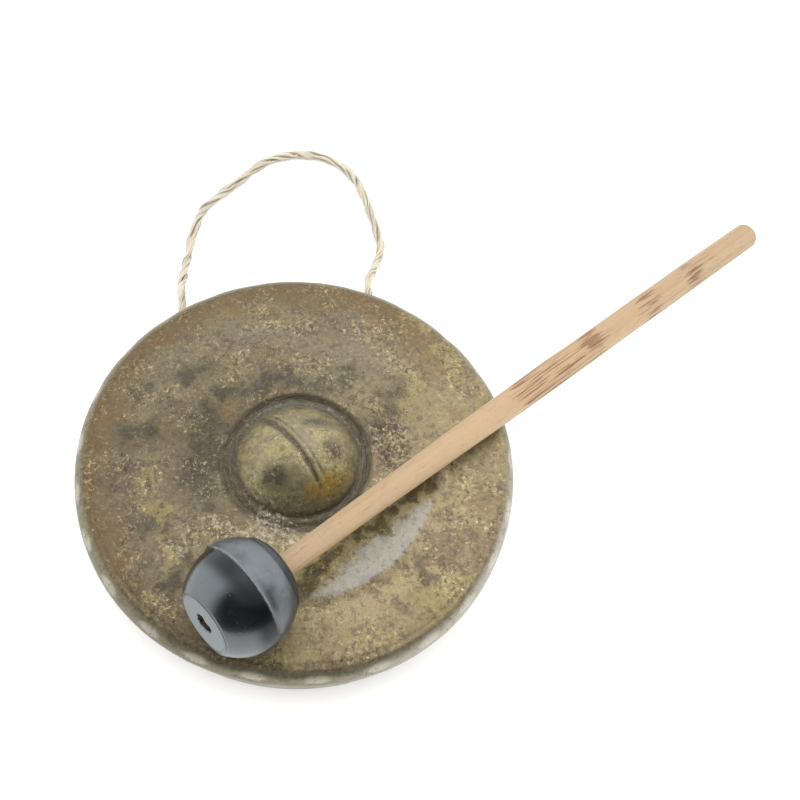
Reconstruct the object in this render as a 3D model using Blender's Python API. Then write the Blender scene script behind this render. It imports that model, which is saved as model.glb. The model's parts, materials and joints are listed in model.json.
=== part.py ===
"""Bossed tam tam gong lying face up, with its raffia hanging cord laid out behind it and its
rubber-headed mallet resting on the face and the rim. Metres, +Z up, open edge of the rim at z = 0."""

import math

import bmesh
import bpy
from mathutils import Matrix, Vector

MM = 0.001
TOUCH_GAP = 0.3 * MM

# Gong: a beaten sheet, measured on its outer side.
GONG_RADIUS = 100 * MM
RIM_DEPTH = 40 * MM
SHEET = 1.8 * MM
SHOULDER_RADIUS = 7.5 * MM
WALL_LEAN = math.radians(14)
OUTER_FACE_LIFT = 0.1 * MM
STEP_INNER_RADIUS = 64 * MM
STEP_OUTER_RADIUS = 69 * MM
PLATEAU_LIFT = 1.5 * MM
MOAT_OUTER_RADIUS = 33 * MM
MOAT_FLOOR_RADIUS = 30.5 * MM
MOAT_FLOOR_LIFT = 0.2 * MM
BOSS_RADIUS = 27.5 * MM
BOSS_HEIGHT = 16 * MM
GONG_SEGMENTS = 64
BOSS_STEPS = 6
SHOULDER_STEPS = 5

# Cord: one length with its ends through two holes in the far wall, knotted inside.
CORD_DIAMETER = 4 * MM
CORD_HOLE_DIAMETER = 5.2 * MM
CORD_HEIGHT = 22 * MM
CORD_AZIMUTH = math.radians(99)
HOLE_HALF_SPREAD = math.radians(28.2)
PIVOT_FROM_WALL = 5.5 * MM
LOOP_LEAD = 3 * MM
CORD_INSIDE = 5 * MM
KNOT_RADIUS = 5.5 * MM
KNOT_HALF_LENGTH = 4 * MM
CORD_POINT_SPACING = 9 * MM
# The free loop from the left strand to the right one, in millimetres from the gong's axis.
LOOP_ROUTE = (
    (-61.3, 92.5, 20.9), (-62.6, 101.0, 18.2), (-63.1, 110.5, 14.2), (-63.0, 120.6, 9.8),
    (-62.7, 130.4, 6.0), (-62.6, 139.8, 3.4), (-61.6, 149.4, 2.3), (-59.8, 158.5, 2.1),
    (-56.4, 167.0, 2.1), (-49.8, 174.8, 2.1), (-41.4, 184.0, 2.1), (-32.4, 194.6, 2.1),
    (-21.5, 203.0, 2.1), (-8.0, 206.6, 2.1), (5.6, 205.4, 2.1), (16.6, 199.8, 2.1),
    (24.0, 190.8, 2.1), (28.6, 180.0, 2.1), (32.6, 168.5, 2.1), (36.0, 156.6, 2.2),
    (38.0, 147.0, 3.0), (37.0, 137.3, 5.8), (33.9, 126.6, 10.7), (31.4, 115.6, 17.0),
    (30.8, 107.4, 20.6),
)

# Mallet: a moulded rubber head on a whittled dowel, tilted so that the handle rests on the rim.
HEAD_CENTRE_X = -19.95 * MM
HEAD_CENTRE_Y = -74.3 * MM
HANDLE_AZIMUTH = math.radians(42.15)
HEAD_RADIUS = 23.8 * MM
HEAD_HALF_LENGTH = 18.7 * MM
PARTING_RIDGE = 0.3 * MM
PARTING_HALF_WIDTH = 0.6 * MM
TENON_RADIUS = 4.5 * MM
TENON_RECESS = 1.8 * MM
HANDLE_NECK_RADIUS = 4.85 * MM
HANDLE_RADIUS = 6.85 * MM
HANDLE_NECK_AT = 19.6 * MM
HANDLE_FULL_AT = 186 * MM
HANDLE_END_AT = 345.5 * MM
HANDLE_END_ROUND = 3.2 * MM
MALLET_SEGMENTS = 32
HEAD_STEPS = 8
HANDLE_TAPER_STEPS = 4
END_ROUND_STEPS = 4


def clear_scene():
    for obj in list(bpy.data.objects):
        bpy.data.objects.remove(obj)


def material(name, colour, roughness, metallic=0.0):
    mat = bpy.data.materials.new(name)
    mat.use_nodes = True
    shader = mat.node_tree.nodes["Principled BSDF"]
    shader.inputs["Base Color"].default_value = (*colour, 1.0)
    shader.inputs["Roughness"].default_value = roughness
    shader.inputs["Metallic"].default_value = metallic
    return mat


def add_object(name, data, mat, parent):
    obj = bpy.data.objects.new(name, data)
    bpy.context.scene.collection.objects.link(obj)
    obj.parent = parent
    if mat:
        data.materials.append(mat)
    return obj


def add_empty(name, location, parent=None):
    empty = bpy.data.objects.new(name, None)
    bpy.context.scene.collection.objects.link(empty)
    empty.parent = parent
    empty.location = location
    empty.empty_display_size = 0.02
    return empty


def arc(centre, radius, start, end, steps):
    """Points of a circular arc in a profile's (radius, height) plane, both ends included."""
    turn = (end - start) / steps
    return [
        (
            centre[0] + radius * math.cos(start + turn * i),
            centre[1] + radius * math.sin(start + turn * i),
        )
        for i in range(steps + 1)
    ]


def turned(name, profile, segments, mat, parent, ring):
    """A solid of revolution about local Z. A ring's profile is a loop, any other starts and ends on the axis."""
    bm = bmesh.new()
    verts = [bm.verts.new((r, 0, z)) for r, z in profile]
    last = len(verts) if ring else len(verts) - 1
    edges = [bm.edges.new((verts[i], verts[(i + 1) % len(verts)])) for i in range(last)]
    bmesh.ops.spin(
        bm, geom=verts + edges, cent=(0, 0, 0), axis=(0, 0, 1), angle=math.tau,
        steps=segments, use_merge=True,
    )
    bmesh.ops.remove_doubles(bm, verts=bm.verts, dist=1e-6)
    bmesh.ops.dissolve_degenerate(bm, edges=bm.edges, dist=1e-7)
    bmesh.ops.recalc_face_normals(bm, faces=bm.faces)
    mesh = bpy.data.meshes.new(name)
    bm.to_mesh(mesh)
    bm.free()
    mesh.shade_smooth()
    mesh.set_sharp_from_angle(angle=math.radians(35))
    return add_object(name, mesh, mat, parent)


def sheet_side(inset):
    """One side of the gong's sheet, from the boss's top to the open edge, moved in by inset."""
    base = RIM_DEPTH - inset
    floor = base + MOAT_FLOOR_LIFT
    dome_rise = BOSS_HEIGHT - MOAT_FLOOR_LIFT
    dome_radius = (BOSS_RADIUS**2 + dome_rise**2) / (2 * dome_rise)
    dome_centre = RIM_DEPTH + BOSS_HEIGHT - dome_radius
    radius = dome_radius - inset
    foot = math.asin((floor - dome_centre) / radius)
    points = arc((0, dome_centre), radius, math.pi / 2, foot, BOSS_STEPS)
    points[0] = (0, points[0][1])
    points += [
        (MOAT_FLOOR_RADIUS, floor),
        (MOAT_OUTER_RADIUS, base + PLATEAU_LIFT),
        (STEP_INNER_RADIUS, base + PLATEAU_LIFT),
        (STEP_OUTER_RADIUS, base + OUTER_FACE_LIFT),
    ]
    shoulder = (GONG_RADIUS - SHOULDER_RADIUS, RIM_DEPTH - SHOULDER_RADIUS)
    points += arc(shoulder, SHOULDER_RADIUS - inset, math.pi / 2, -WALL_LEAN, SHOULDER_STEPS)
    foot_r, foot_z = points[-1]
    points.append((foot_r - foot_z * math.tan(WALL_LEAN), 0))
    return points


def wall_radius(height):
    """The outer radius of the leaning wall at a height below the shoulder."""
    r, z = sheet_side(0)[-2]
    return r - (z - height) * math.tan(WALL_LEAN)


def cord_direction():
    return Vector((math.cos(CORD_AZIMUTH), math.sin(CORD_AZIMUTH), 0))


def cord_hole(side):
    """Where a strand's centreline meets the wall's outer side: side is 1 on the left, -1 on the right."""
    azimuth = CORD_AZIMUTH + side * HOLE_HALF_SPREAD
    r = wall_radius(CORD_HEIGHT)
    return Vector((r * math.cos(azimuth), r * math.sin(azimuth), CORD_HEIGHT))


def strand_point(side, outward):
    """A point on a strand's straight run through the wall, at a distance outward from the wall."""
    return cord_hole(side) + cord_direction() * outward


def smooth_curve(points, spacing):
    """Points at an even spacing along a centripetal Catmull-Rom curve through the given points.

    The first and last legs stay straight: each end is joined to its neighbour as it is."""
    fine = []
    for p0, p1, p2, p3 in zip(points, points[1:], points[2:], points[3:]):
        t1 = (p1 - p0).length ** 0.5
        t2 = t1 + (p2 - p1).length ** 0.5
        t3 = t2 + (p3 - p2).length ** 0.5
        for i in range(20):
            t = t1 + (t2 - t1) * i / 20
            a1 = p0.lerp(p1, t / t1)
            a2 = p1.lerp(p2, (t - t1) / (t2 - t1))
            a3 = p2.lerp(p3, (t - t2) / (t3 - t2))
            b1 = a1.lerp(a2, t / t2)
            b2 = a2.lerp(a3, (t - t1) / (t3 - t1))
            fine.append(b1.lerp(b2, (t - t1) / (t2 - t1)))
    fine.append(points[-2])
    travelled = [0.0]
    for a, b in zip(fine, fine[1:]):
        travelled.append(travelled[-1] + (b - a).length)
    count = round(travelled[-1] / spacing)
    even = [fine[0]]
    at = 0
    for i in range(1, count):
        wanted = travelled[-1] * i / count
        while travelled[at + 1] < wanted:
            at += 1
        share = (wanted - travelled[at]) / (travelled[at + 1] - travelled[at])
        even.append(fine[at].lerp(fine[at + 1], share))
    return [points[0], *even, fine[-1], points[-1]]


def tube(name, points, diameter, mat, parent):
    curve = bpy.data.curves.new(name, "CURVE")
    curve.dimensions = "3D"
    curve.bevel_depth = diameter / 2
    curve.bevel_resolution = 2
    curve.use_fill_caps = True
    spline = curve.splines.new("POLY")
    spline.points.add(len(points) - 1)
    for target, point in zip(spline.points, points):
        target.co = (*point, 1)
    spline.use_smooth = True
    return add_object(name, curve, mat, parent)


def hole_cutter(name, side, parent):
    """A round cutter along the strand, through the wall only."""
    bm = bmesh.new()
    bmesh.ops.create_cone(
        bm, cap_ends=True, segments=16, depth=3 * CORD_INSIDE,
        radius1=CORD_HOLE_DIAMETER / 2, radius2=CORD_HOLE_DIAMETER / 2,
    )
    mesh = bpy.data.meshes.new(name)
    bm.to_mesh(mesh)
    bm.free()
    cutter = add_object(name, mesh, None, parent)
    cutter.location = cord_hole(side)
    cutter.rotation_euler = cord_direction().to_track_quat("Z", "Y").to_euler()
    cutter.hide_render = True
    cutter.display_type = "WIRE"
    return cutter


def gong_shell(parent, mat):
    profile = sheet_side(0) + sheet_side(SHEET)[::-1]
    shell = turned("gong_shell", profile, GONG_SEGMENTS, mat, parent, ring=False)
    for name, side in (("left", 1), ("right", -1)):
        hole = shell.modifiers.new(f"cord_hole_{name}", "BOOLEAN")
        hole.operation = "DIFFERENCE"
        hole.object = hole_cutter(f"cutter_{name}", side, parent)
    return shell


def cord_end(name, side, mat, parent):
    """The strand's still stretch, from the knot through the wall to the loop's pivot."""
    ends = [-CORD_INSIDE, PIVOT_FROM_WALL - TOUCH_GAP / 2]
    count = 3
    points = [
        strand_point(side, ends[0] + (ends[1] - ends[0]) * i / (count - 1))
        for i in range(count)
    ]
    return tube(name, points, CORD_DIAMETER, mat, parent)


def cord_knot(name, side, mat, parent):
    bm = bmesh.new()
    bmesh.ops.create_uvsphere(bm, u_segments=12, v_segments=8, radius=1)
    mesh = bpy.data.meshes.new(name)
    bmesh.ops.scale(bm, verts=bm.verts, vec=(KNOT_RADIUS, KNOT_RADIUS, KNOT_HALF_LENGTH))
    turn = cord_direction().to_track_quat("Z", "Y").to_matrix()
    bmesh.ops.rotate(bm, verts=bm.verts, cent=(0, 0, 0), matrix=turn)
    bm.to_mesh(mesh)
    bm.free()
    mesh.shade_smooth()
    knot = add_object(name, mesh, mat, parent)
    knot.location = strand_point(side, -CORD_INSIDE - TOUCH_GAP - KNOT_HALF_LENGTH)
    return knot


def loop_points():
    start = PIVOT_FROM_WALL + TOUCH_GAP / 2
    left = [strand_point(1, start), strand_point(1, start + LOOP_LEAD)]
    right = [strand_point(-1, start + LOOP_LEAD), strand_point(-1, start)]
    middle = [Vector(point) * MM for point in LOOP_ROUTE]
    return smooth_curve([*left, *middle, *right], CORD_POINT_SPACING)


def hanging_cord(pivot, mat):
    """The free loop. Its origin is on the pivot line, which runs along the top of both strands."""
    points = [point - pivot.location for point in loop_points()]
    return tube("hanging_cord", points, CORD_DIAMETER, mat, pivot)


def loop_pivot(parent):
    line_ends = [strand_point(side, PIVOT_FROM_WALL) for side in (1, -1)]
    middle = (line_ends[0] + line_ends[1]) / 2
    return add_empty("cord_loop_pivot", middle + Vector((0, 0, CORD_DIAMETER / 2)), parent)


def handle_radius(along):
    """The handle's radius at a distance from the head's centre: a taper, then an even dowel."""
    share = min((along - HANDLE_NECK_AT) / (HANDLE_FULL_AT - HANDLE_NECK_AT), 1)
    return HANDLE_NECK_RADIUS + (HANDLE_RADIUS - HANDLE_NECK_RADIUS) * share


def mallet_tilt(head_height):
    """The handle's fall per unit of run, from the head's centre to where it rests on the rim."""
    heading = (math.cos(HANDLE_AZIMUTH), math.sin(HANDLE_AZIMUTH))
    offset = HEAD_CENTRE_X * heading[1] - HEAD_CENTRE_Y * heading[0]
    nearest = -(HEAD_CENTRE_X * heading[0] + HEAD_CENTRE_Y * heading[1])
    rest_radius = GONG_RADIUS - SHOULDER_RADIUS
    run = nearest + math.sqrt(rest_radius**2 - offset**2)
    fall = head_height - (RIM_DEPTH + TOUCH_GAP + handle_radius(run))
    return math.atan2(fall, run)


def mallet_frame(parent):
    """The mallet's own frame: origin at the head's centre, +Z along the handle towards its free end."""
    height = RIM_DEPTH + OUTER_FACE_LIFT + TOUCH_GAP + HEAD_RADIUS + PARTING_RIDGE
    frame = add_empty("mallet_frame", (HEAD_CENTRE_X, HEAD_CENTRE_Y, height), parent)
    tilt = mallet_tilt(height)
    turn = Matrix.Rotation(HANDLE_AZIMUTH, 4, "Z") @ Matrix.Rotation(math.pi / 2 + tilt, 4, "Y")
    frame.rotation_euler = turn.to_euler()
    return frame


def mallet_head(frame, mat):
    flat_angle = math.asin(HEAD_HALF_LENGTH / HEAD_RADIUS)
    seam_angle = math.asin(PARTING_HALF_WIDTH / HEAD_RADIUS)
    ridge = HEAD_RADIUS + PARTING_RIDGE
    bore = TENON_RADIUS + TOUCH_GAP
    profile = [(bore, HEAD_HALF_LENGTH)]
    profile += arc((0, 0), HEAD_RADIUS, flat_angle, seam_angle, HEAD_STEPS)
    profile += [(ridge, PARTING_HALF_WIDTH / 3), (ridge, -PARTING_HALF_WIDTH / 3)]
    profile += arc((0, 0), HEAD_RADIUS, -seam_angle, -flat_angle, HEAD_STEPS)
    profile += [(bore, -HEAD_HALF_LENGTH)]
    return turned("mallet_head", profile, MALLET_SEGMENTS, mat, frame, ring=True)


def mallet_handle(frame, mat):
    tenon_end = -HEAD_HALF_LENGTH + TENON_RECESS
    tenon_shoulder = HEAD_HALF_LENGTH + TOUCH_GAP
    round_centre = (HANDLE_RADIUS - HANDLE_END_ROUND, HANDLE_END_AT - HANDLE_END_ROUND)
    profile = [(0, HANDLE_END_AT)]
    profile += arc(round_centre, HANDLE_END_ROUND, math.pi / 2, 0, END_ROUND_STEPS)
    for i in range(HANDLE_TAPER_STEPS + 1):
        share = i / HANDLE_TAPER_STEPS
        along = HANDLE_FULL_AT + (HANDLE_NECK_AT - HANDLE_FULL_AT) * share
        profile.append((handle_radius(along), along))
    profile += [(TENON_RADIUS, tenon_shoulder), (TENON_RADIUS, tenon_end), (0, tenon_end)]
    return turned("mallet_handle", profile, MALLET_SEGMENTS, mat, frame, ring=False)


def centre_on_origin(assembly, members):
    """Moves the assembly so that the box round its rigid members is centred over the origin."""
    bpy.context.view_layer.update()
    graph = bpy.context.evaluated_depsgraph_get()
    corners = []
    for member in members:
        evaluated = member.evaluated_get(graph)
        world = evaluated.matrix_world
        corners += [world @ vertex.co for vertex in evaluated.to_mesh().vertices]
        evaluated.to_mesh_clear()
    for i in (0, 1):
        values = [corner[i] for corner in corners]
        assembly.location[i] = -(min(values) + max(values)) / 2


def main():
    clear_scene()
    bronze = material("patinated_bronze", (0.30, 0.25, 0.13), 0.45, metallic=1.0)
    raffia = material("raffia_cord", (0.62, 0.52, 0.36), 0.8)
    wood = material("handle_wood", (0.66, 0.45, 0.28), 0.6)
    rubber = material("grey_rubber", (0.10, 0.115, 0.125), 0.5)

    assembly = add_empty("gong_axis", (0, 0, 0))
    shell = gong_shell(assembly, bronze)
    for name, side in (("left", 1), ("right", -1)):
        cord_end(f"cord_end_{name}", side, raffia, assembly)
        cord_knot(f"cord_knot_{name}", side, raffia, assembly)
    hanging_cord(loop_pivot(assembly), raffia)
    frame = mallet_frame(assembly)
    head = mallet_head(frame, rubber)
    handle = mallet_handle(frame, wood)
    centre_on_origin(assembly, (shell, head, handle))


main()
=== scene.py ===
"""The looks of the tam tam gong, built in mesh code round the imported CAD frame: a hammered and
patinated gong, its twisted raffia cord with two knots, and a whittled mallet with a moulded
rubber head. Metres, +Z up, in the frame's own coordinates."""

import json
import math

import bmesh
import bpy
import numpy as np
from mathutils import Matrix, Vector


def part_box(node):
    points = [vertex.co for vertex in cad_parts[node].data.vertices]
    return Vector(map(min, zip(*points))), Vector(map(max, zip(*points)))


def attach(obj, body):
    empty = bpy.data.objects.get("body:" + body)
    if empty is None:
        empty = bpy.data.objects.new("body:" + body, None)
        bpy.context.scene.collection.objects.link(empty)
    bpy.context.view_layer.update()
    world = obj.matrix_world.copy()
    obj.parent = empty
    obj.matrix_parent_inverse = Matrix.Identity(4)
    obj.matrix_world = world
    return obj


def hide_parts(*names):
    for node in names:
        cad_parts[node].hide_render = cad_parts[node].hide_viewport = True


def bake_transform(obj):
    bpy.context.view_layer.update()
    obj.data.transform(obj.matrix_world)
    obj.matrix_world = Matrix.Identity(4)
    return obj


MM = 0.001
SEED = 7

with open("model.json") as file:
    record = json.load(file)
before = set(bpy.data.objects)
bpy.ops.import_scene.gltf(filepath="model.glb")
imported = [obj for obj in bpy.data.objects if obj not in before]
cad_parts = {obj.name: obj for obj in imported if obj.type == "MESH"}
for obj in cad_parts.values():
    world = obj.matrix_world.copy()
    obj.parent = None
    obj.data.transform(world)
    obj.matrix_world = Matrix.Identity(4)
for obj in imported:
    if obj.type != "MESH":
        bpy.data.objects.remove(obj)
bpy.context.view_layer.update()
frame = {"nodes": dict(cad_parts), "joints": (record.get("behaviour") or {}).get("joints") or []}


# ---- places, read from the frame

def node_points(node):
    return np.array([v.co for v in frame["nodes"][node].data.vertices])


def box_middle(node):
    low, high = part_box(node)
    return (low + high) / 2


GONG_AXIS = Vector((*box_middle("gong_shell").xy, 0))
LOOP_JOINT = next(joint for joint in frame["joints"] if joint["name"] == "cord_loop_swing")
HINGE_AXIS = Vector(LOOP_JOINT["axis"]).normalized()
CORD_OUT = Vector((0, 0, 1)).cross(HINGE_AXIS)


def mallet_matrix():
    """The mallet's own frame: origin at the head's centre, +Z along the handle, +Y upward."""
    handle = node_points("mallet_handle")
    head = node_points("mallet_head")
    axis = np.linalg.svd(handle - handle.mean(0), full_matrices=False)[2][0]
    axis *= np.sign((handle.mean(0) - head.mean(0)) @ axis)
    along = head @ axis
    origin = head.mean(0) + axis * ((along.min() + along.max()) / 2 - along.mean())
    forward = Vector(axis)
    side = Vector((0, 0, 1)).cross(forward).normalized()
    matrix = Matrix((side, forward.cross(side), forward)).transposed().to_4x4()
    matrix.translation = origin
    return matrix


# ---- camera

CAMERA_FROM_AXIS = Vector((0, -243.19, 542.88)) * MM
CAMERA_YAW = math.radians(9.41)
CAMERA_PITCH = math.radians(60.85)
CAMERA_ROLL = math.radians(11.29)
CAMERA_LENS = 55.6


def make_camera():
    data = bpy.data.cameras.new("camera")
    data.lens = CAMERA_LENS
    data.sensor_width = 36
    data.clip_start = 0.01
    camera = bpy.data.objects.new("camera", data)
    bpy.context.scene.collection.objects.link(camera)
    turn = Matrix.Rotation(-CAMERA_YAW, 4, "Z")
    turn @= Matrix.Rotation(math.pi / 2 - CAMERA_PITCH, 4, "X")
    turn @= Matrix.Rotation(CAMERA_ROLL, 4, "Z")
    camera.matrix_world = Matrix.Translation(GONG_AXIS + CAMERA_FROM_AXIS) @ turn
    bpy.context.scene.camera = camera


make_camera()


# ---- meshes

def distances_along(points):
    return np.r_[0, np.cumsum(np.linalg.norm(np.diff(points, axis=0), axis=1))]


def new_object(name, verts, faces, matrix=None):
    mesh = bpy.data.meshes.new(name)
    mesh.from_pydata(verts, [], faces)
    mesh.update()
    mesh.shade_smooth()
    obj = bpy.data.objects.new(name, mesh)
    bpy.context.scene.collection.objects.link(obj)
    if matrix is not None:
        obj.matrix_world = matrix
    return obj


def grid_faces(rows, columns, start=0):
    """Quads between rows of points, each row a closed ring."""
    first = np.arange(rows - 1)[:, None] * columns + start
    following = first + columns
    here = np.arange(columns)[None, :]
    after = (here + 1) % columns
    quads = np.stack([first + here, first + after, following + after, following + here], -1)
    return quads.reshape(-1, 4).tolist()


def fan_faces(centre, ring_start, columns, flip):
    fan = []
    for i in range(columns):
        a, b = ring_start + i, ring_start + (i + 1) % columns
        fan.append((centre, b, a) if flip else (centre, a, b))
    return fan


def capped_object(name, rows, matrix, inverted):
    """A closed skin over rings of points in millimetres, with a fan over each end ring."""
    columns = rows.shape[1]
    verts = np.concatenate([rows.reshape(-1, 3), [rows[0].mean(0), rows[-1].mean(0)]]) * MM
    count = len(verts) - 2
    faces = grid_faces(len(rows), columns)
    if inverted:
        faces = [tuple(reversed(f)) for f in faces]
    faces += fan_faces(count, 0, columns, flip=not inverted)
    faces += fan_faces(count + 1, count - columns, columns, flip=inverted)
    return new_object(name, verts.tolist(), faces, matrix)


def store(obj, name, values):
    values = np.clip(values, 0, 1).astype(np.float32)
    attribute = obj.data.attributes.new(name, "FLOAT", "POINT")
    attribute.data.foreach_set("value", values)


def circle(count):
    return np.linspace(0, math.tau, count, endpoint=False)


def ramp(low, high, x):
    """0 below low and 1 above high, with a smooth rise between them."""
    t = np.clip((x - low) / (high - low), 0, 1)
    return t * t * (3 - 2 * t)


def hill(*offsets):
    """A bell of height 1 where every offset is 0."""
    return np.exp(-sum(offset**2 for offset in offsets))


def angle_from(turn, centre):
    """The angle from a centre, between minus half a turn and half a turn."""
    return np.mod(turn - centre + math.pi, math.tau) - math.pi


def bump_shape(distance):
    """1 at distance 0, falling smoothly to 0 at distance 1."""
    return np.where(distance < 1, (1 - np.clip(distance, 0, 1) ** 2) ** 2, 0)


# ---- cord

CORD_INSIDE = 5 * MM
PIVOT_FROM_WALL = 5.5 * MM
LOOP_LEAD = 3 * MM
KNOT_DEPTH = 7.3 * MM
CORD_STEP = 0.8 * MM
PLY_COUNT = 2
PLY_SIDES = 22
PLY_OFFSET = 0.98 * MM
PLY_HALF_WIDTH = 1.74 * MM
PLY_HALF_THICKNESS = 0.98 * MM
LAY_LENGTH = 40 * MM
# The free loop from the left strand to the right one, in millimetres from the gong's axis.
LOOP_ROUTE = (
    (-61.3, 92.5, 20.9), (-62.6, 101.0, 18.2), (-63.1, 110.5, 14.2), (-63.0, 120.6, 9.8),
    (-62.7, 130.4, 6.0), (-62.6, 139.8, 3.4), (-61.6, 149.4, 2.3), (-59.8, 158.5, 2.1),
    (-56.4, 167.0, 2.1), (-49.8, 174.8, 2.1), (-41.4, 184.0, 2.1), (-32.4, 194.6, 2.1),
    (-21.5, 203.0, 2.1), (-8.0, 206.6, 2.1), (5.6, 205.4, 2.1), (16.6, 199.8, 2.1),
    (24.0, 190.8, 2.1), (28.6, 180.0, 2.1), (32.6, 168.5, 2.1), (36.0, 156.6, 2.2),
    (38.0, 147.0, 3.0), (37.0, 137.3, 5.8), (33.9, 126.6, 10.7), (31.4, 115.6, 17.0),
    (30.8, 107.4, 20.6),
)


def strand_point(end_node, outward):
    """A point on a strand's straight run, at a distance outward from the gong's wall."""
    points = node_points(end_node)
    middle = Vector(points.mean(0))
    along = points @ np.array(CORD_OUT)
    return middle + CORD_OUT * (outward + CORD_INSIDE - float(along.mean() - along.min()))


def smooth_curve(points, spacing):
    """Points at an even spacing along a centripetal Catmull-Rom curve whose end legs stay straight."""
    points = [Vector(p) for p in points]
    fine = [points[0]]
    for p0, p1, p2, p3 in zip(points, points[1:], points[2:], points[3:]):
        t1 = (p1 - p0).length ** 0.5
        t2 = t1 + (p2 - p1).length ** 0.5
        t3 = t2 + (p3 - p2).length ** 0.5
        for i in range(20):
            t = t1 + (t2 - t1) * i / 20
            a1 = p0.lerp(p1, t / t1)
            a2 = p1.lerp(p2, (t - t1) / (t2 - t1))
            a3 = p2.lerp(p3, (t - t2) / (t3 - t2))
            b1 = a1.lerp(a2, t / t2)
            b2 = a2.lerp(a3, (t - t1) / (t3 - t1))
            fine.append(b1.lerp(b2, (t - t1) / (t2 - t1)))
    fine += [points[-2], points[-1]]
    fine = np.array([list(p) for p in fine])
    travelled = distances_along(fine)
    wanted = np.linspace(0, travelled[-1], max(4, round(travelled[-1] / spacing)))
    return np.stack([np.interp(wanted, travelled, fine[:, i]) for i in range(3)], 1)


def carried_frames(path):
    """For each point of a path its tangent and two cross directions that turn as little as possible."""
    tangent = np.gradient(path, axis=0)
    tangent /= np.linalg.norm(tangent, axis=1)[:, None]
    across = np.zeros_like(path)
    across[0] = np.cross(tangent[0], (0.0, 0.0, 1.0))
    across[0] /= np.linalg.norm(across[0])
    for i in range(1, len(path)):
        moved = across[i - 1] - tangent[i] * (across[i - 1] @ tangent[i])
        across[i] = moved / np.linalg.norm(moved)
    return tangent, across, np.cross(tangent, across)


def twisted_cord(name, path, seed, thickness=1.0):
    """Two raffia plies laid round each other along a path, as one mesh with fibre coordinates."""
    pick = np.random.default_rng(seed).uniform
    tangent, across, up = carried_frames(path)
    s = distances_along(path)
    waves = [(pick(18, 70) * MM, pick(0, math.tau)) for _ in range(6)]
    wander = sum(np.sin(math.tau * s / length + phase) for length, phase in waves)
    lay = math.tau * s / LAY_LENGTH + 0.24 * wander
    theta = circle(PLY_SIDES)
    verts, faces, coords = [], [], []
    for ply in range(PLY_COUNT):
        turn = lay + math.tau * ply / PLY_COUNT
        radial = across * np.cos(turn)[:, None] + up * np.sin(turn)[:, None]
        sideways = np.cross(tangent, radial)
        loose = 1 + 0.2 * np.sin(math.tau * s / (41 * MM) + 2 * ply + seed)
        centre = path + radial * (PLY_OFFSET * thickness * loose)[:, None]
        folds = np.zeros((len(s), PLY_SIDES))
        for wave in range(2, 9):
            phase = pick(0, math.tau)
            drift = pick(-1, 1) * math.tau / (26 * MM)
            swell = 1 + 0.5 * np.sin(math.tau * s / (pick(9, 30) * MM) + phase)
            ripple = np.cos(wave * theta[None, :] + phase + (drift * s)[:, None])
            folds += (0.16 / wave * swell)[:, None] * ripple
        fullness = 1 + 0.19 * np.sin(math.tau * s / (pick(12, 22) * MM) + 5 * ply)
        ends = ramp(0, 1.2 * MM, s) * ramp(0, 1.2 * MM, s[-1] - s)
        size = thickness * (fullness * (0.25 + 0.75 * ends))[:, None] * (1 + folds)
        offset = (
            radial[:, None, :] * (PLY_HALF_THICKNESS * size * np.cos(theta))[..., None]
            + sideways[:, None, :] * (PLY_HALF_WIDTH * size * np.sin(theta))[..., None]
        )
        rings = centre[:, None, :] + offset
        rings[..., 2] = np.maximum(rings[..., 2], 0.05 * MM)
        start = len(verts)
        verts += rings.reshape(-1, 3).tolist()
        faces += grid_faces(len(s), PLY_SIDES, start)
        end = start + (len(s) - 1) * PLY_SIDES
        faces += [range(start + PLY_SIDES - 1, start - 1, -1), range(end, end + PLY_SIDES)]
        along = np.broadcast_to(s[:, None], folds.shape)
        around = np.broadcast_to(theta[None, :] * PLY_HALF_WIDTH + 0.05 * ply, folds.shape)
        coords.append(np.stack([along, around, folds], -1).reshape(-1, 3))
    cord = new_object(name, verts, faces)
    fibre = cord.data.attributes.new("fibre", "FLOAT_VECTOR", "POINT")
    fibre.data.foreach_set("vector", np.concatenate(coords).astype(np.float32).ravel())
    return cord


def make_cord():
    lead = PIVOT_FROM_WALL + LOOP_LEAD
    left = [strand_point("cord_end_left", d) for d in (-KNOT_DEPTH, PIVOT_FROM_WALL, lead)]
    right = [strand_point("cord_end_right", d) for d in (lead, PIVOT_FROM_WALL, -KNOT_DEPTH)]
    middle = [GONG_AXIS + Vector(point) * MM for point in LOOP_ROUTE]
    path = smooth_curve([*left, *middle, *right], CORD_STEP)
    cord = twisted_cord("raffia_cord", path, SEED)
    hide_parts("hanging_cord", "cord_end_left", "cord_end_right")
    return cord, path


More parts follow.
